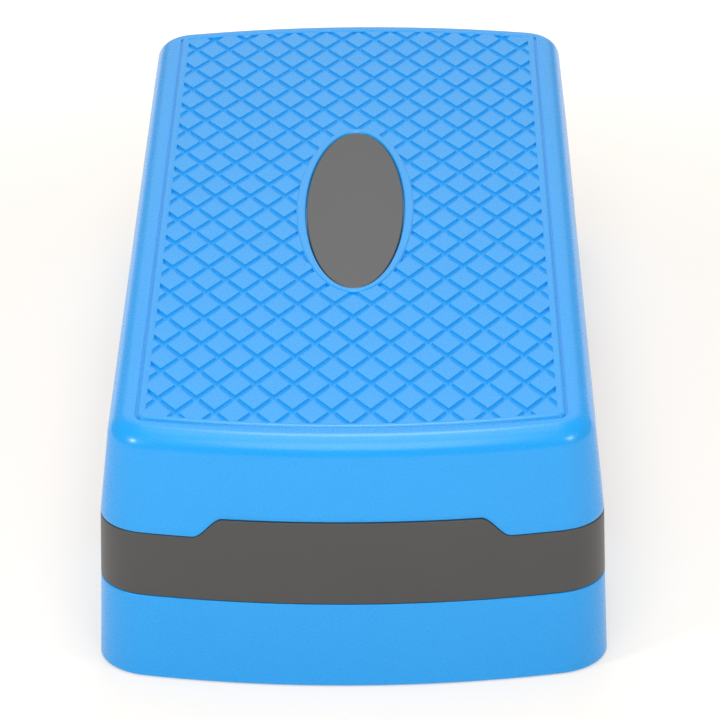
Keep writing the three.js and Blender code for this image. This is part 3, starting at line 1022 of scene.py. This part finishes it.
def make_pads(name, nodes, body):
    """All the pads of one body: one turned shape, copied to the middle of each pad."""
    low = side(nodes[0], 0, 2)
    high = side(nodes[0], 1, 2)
    radius = (side(nodes[0], 1, 0) - side(nodes[0], 0, 0)) / 2
    shape = sweep(name + " shape", circle(radius), pad_profile(high - low), smooth=False)
    pads = places(name, [[x, y, low] for x, y, _ in ground_plan(nodes)])
    run_tree(pads, COPIES, shape=shape, material=PAD_RUBBER)
    forget(shape)
    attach(pads, body)
    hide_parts(*nodes)


COPIES = copies_tree()
for end in ("front", "back"):
    make_pads(f"{end}_riser_pads", numbered(f"{end}_riser_pad"), f"{end}_riser")
make_pads("foot_pads", numbered("front_foot_pad") + numbered("back_foot_pad"), "platform")

# %% [markdown]
# ## Screws
# The screws keep their plain working shape, because they sit deep in the feet. They are zinc-plated
# steel: a metal, so metallic is 1, and the plating is slightly blue and unevenly dull.

# %% Finish the screws


def plated_steel(spangle_mm=2, brightest=0.25, dullest=0.45):
    """Zinc plating: crystals about 2 mm across, each a little duller or brighter than the next."""
    material, tree, place = new_material("zinc-plated steel")
    spangle = add(tree, "ShaderNodeTexNoise", {
        "Vector": place, "Scale": 1 / (spangle_mm * MM), "Detail": 2,
    })
    dull = add(tree, "ShaderNodeMapRange", {
        "Value": spangle.outputs["Fac"], "To Min": brightest, "To Max": dullest,
    })
    surface = add(tree, "ShaderNodeBsdfPrincipled", {
        "Base Color": linear("#B9BCC0"), "Metallic": 1, "Roughness": dull.outputs[0],
    })
    add(tree, "ShaderNodeOutputMaterial", {"Surface": surface.outputs[0]})
    return material


SCREW_STEEL = plated_steel()
for node in ALL_SCREWS:
    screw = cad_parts[node]
    screw.data.materials.clear()
    screw.data.materials.append(SCREW_STEEL)
print("screws finished:", len(ALL_SCREWS))

# %% [markdown]
# ## A white floor
# A plain object shows best on white paper. The paper glows a little, as it would with lamps behind it, and
# glows less close to the step: that dimming is a painted soft shadow round it. The painted shadow is worked
# out from the distance to the middle of the step, so it stays in place from every side. The floor lies a
# hair under the pads, because two faces at one height would flicker.

# %% Make the floor

FLOOR_HALF = 6000
FLOOR_LEVEL = -HAIR
# Painted shadow: the floor's glow is lowest inside the first distance and back to full past the second.
PAINTED_SHADOW_CORE = 0.35  # metres from the middle of the step
PAINTED_SHADOW_EDGE = 1.1
GLOW_IN_PAINTED_SHADOW = 0.45
GLOW_FAR = 0.88


def white_paper():
    material, tree, place = new_material("white paper sweep")
    away = add(tree, "ShaderNodeVectorMath", {0: place}, operation="LENGTH").outputs["Value"]
    # Painted shadow: the glow rises with distance from the middle of the step, so the floor is darker close
    # to it.
    glow_and_painted_shadow = add(tree, "ShaderNodeMapRange", {
        "Value": away, "From Min": PAINTED_SHADOW_CORE, "From Max": PAINTED_SHADOW_EDGE,
        "To Min": GLOW_IN_PAINTED_SHADOW, "To Max": GLOW_FAR,
    }, interpolation_type="SMOOTHSTEP")
    surface = add(tree, "ShaderNodeBsdfPrincipled", {
        "Base Color": linear("#C4BEB7"),
        "Roughness": 0.9,
        "Specular IOR Level": 0.2,
        "Emission Color": linear("#FFFDFA"),
        "Emission Strength": glow_and_painted_shadow.outputs["Result"],
    })
    add(tree, "ShaderNodeOutputMaterial", {"Surface": surface.outputs[0]})
    return material


square = ((-1, -1), (1, -1), (1, 1), (-1, 1))
corners = [(x * FLOOR_HALF, y * FLOOR_HALF, FLOOR_LEVEL) for x, y in square]
floor = make_object("floor", corners, [(0, 1, 2, 3)], [False])
floor.data.materials.append(white_paper())
print("floor", 2 * FLOOR_HALF * MM, "m square")

# %% [markdown]
# ## Soft light
# The world gives even white light from all sides, and six soft panels draw the highlights. Gloss shows
# what a surface mirrors, so each panel stands where one part of the step mirrors it:
# - two small, strong panels beside the near end give each near corner its white spot;
# - a panel behind the middle draws the thin bright band along the top of the near edge;
# - the overhead panel and the near one fill the broad paler stretch under that band;
# - a wide panel beyond the far end, at the height that the flat tread mirrors, gives it an even haze.

# %% Make the lights

SKY = 0.34
AIM = Vector((0, 0, 0.1))


def soft_panel(name, place, size, power):
    """A square soft light at a place in metres, turned towards the step."""
    light = bpy.data.lights.new(name, "AREA")
    light.size = size
    light.energy = power
    panel = bpy.data.objects.new(name, light)
    panel.location = place
    panel.rotation_euler = (AIM - Vector(place)).to_track_quat("-Z", "Y").to_euler()
    scene.collection.objects.link(panel)


scene = bpy.context.scene
scene.view_settings.view_transform = "Standard"
scene.world = bpy.data.worlds.new("white tent")
scene.world.use_nodes = True
background = scene.world.node_tree.nodes["Background"]
background.inputs["Color"].default_value = (1, 1, 1, 1)
background.inputs["Strength"].default_value = SKY
soft_panel("left panel", (-1.71, -1.42, 1.15), 0.3, 16)
soft_panel("right panel", (1.71, -1.42, 1.15), 0.28, 11)
soft_panel("back panel", (0, 0.62, 1.45), 0.46, 4.6)
soft_panel("overhead panel", (0, -0.12, 1.6), 0.9, 5.6)
soft_panel("near panel", (0, -1.16, 1.48), 1.0, 11)
soft_panel("far wall", (0, 2.6, 1.5), 2.2, 8)
print("lights:", len(bpy.data.lights))

# %% [markdown]
# ## The camera
# It looks down the length of the step from its near end, about 25 degrees down, from well back with a
# long lens, so the long sides draw together only a little. It is placed by three directions and one
# distance. Its target is the middle of the near end's lower edge, which it keeps well below the
# centre of the frame.

# %% Place the camera

ELEVATION = math.radians(25)
SIDEWAYS = math.radians(0.63)
ROLL = math.radians(-0.59)
DISTANCE = 2.408
TARGET_BELOW = 0.1830
TARGET_LEFT = 0.0038
LENS = 215.2
SENSOR = 36
SEES_TO = 50  # metres


def camera_matrix():
    """The camera's place and its three axes, as one matrix."""
    forward = Vector((0, math.cos(ELEVATION), -math.sin(ELEVATION)))
    level_right = Vector((1, 0, 0))
    level_up = level_right.cross(forward)
    right = math.cos(ROLL) * level_right + math.sin(ROLL) * level_up
    up = -math.sin(ROLL) * level_right + math.cos(ROLL) * level_up
    back_off = TARGET_LEFT * right + TARGET_BELOW * up - DISTANCE * forward
    turn_round = Matrix.Rotation(SIDEWAYS, 3, "Z")
    target = Vector((0, -HALF_LENGTH * MM, 0))
    axes = Matrix((turn_round @ right, turn_round @ up, turn_round @ -forward)).transposed()
    return Matrix.Translation(target + turn_round @ back_off) @ axes.to_4x4()


optics = bpy.data.cameras.new("camera")
optics.lens = LENS
optics.sensor_width = SENSOR
optics.clip_end = SEES_TO
camera = bpy.data.objects.new("camera", optics)
camera.matrix_world = camera_matrix()
scene.collection.objects.link(camera)
scene.camera = camera
print("camera at", [round(x, 3) for x in camera.matrix_world.translation])
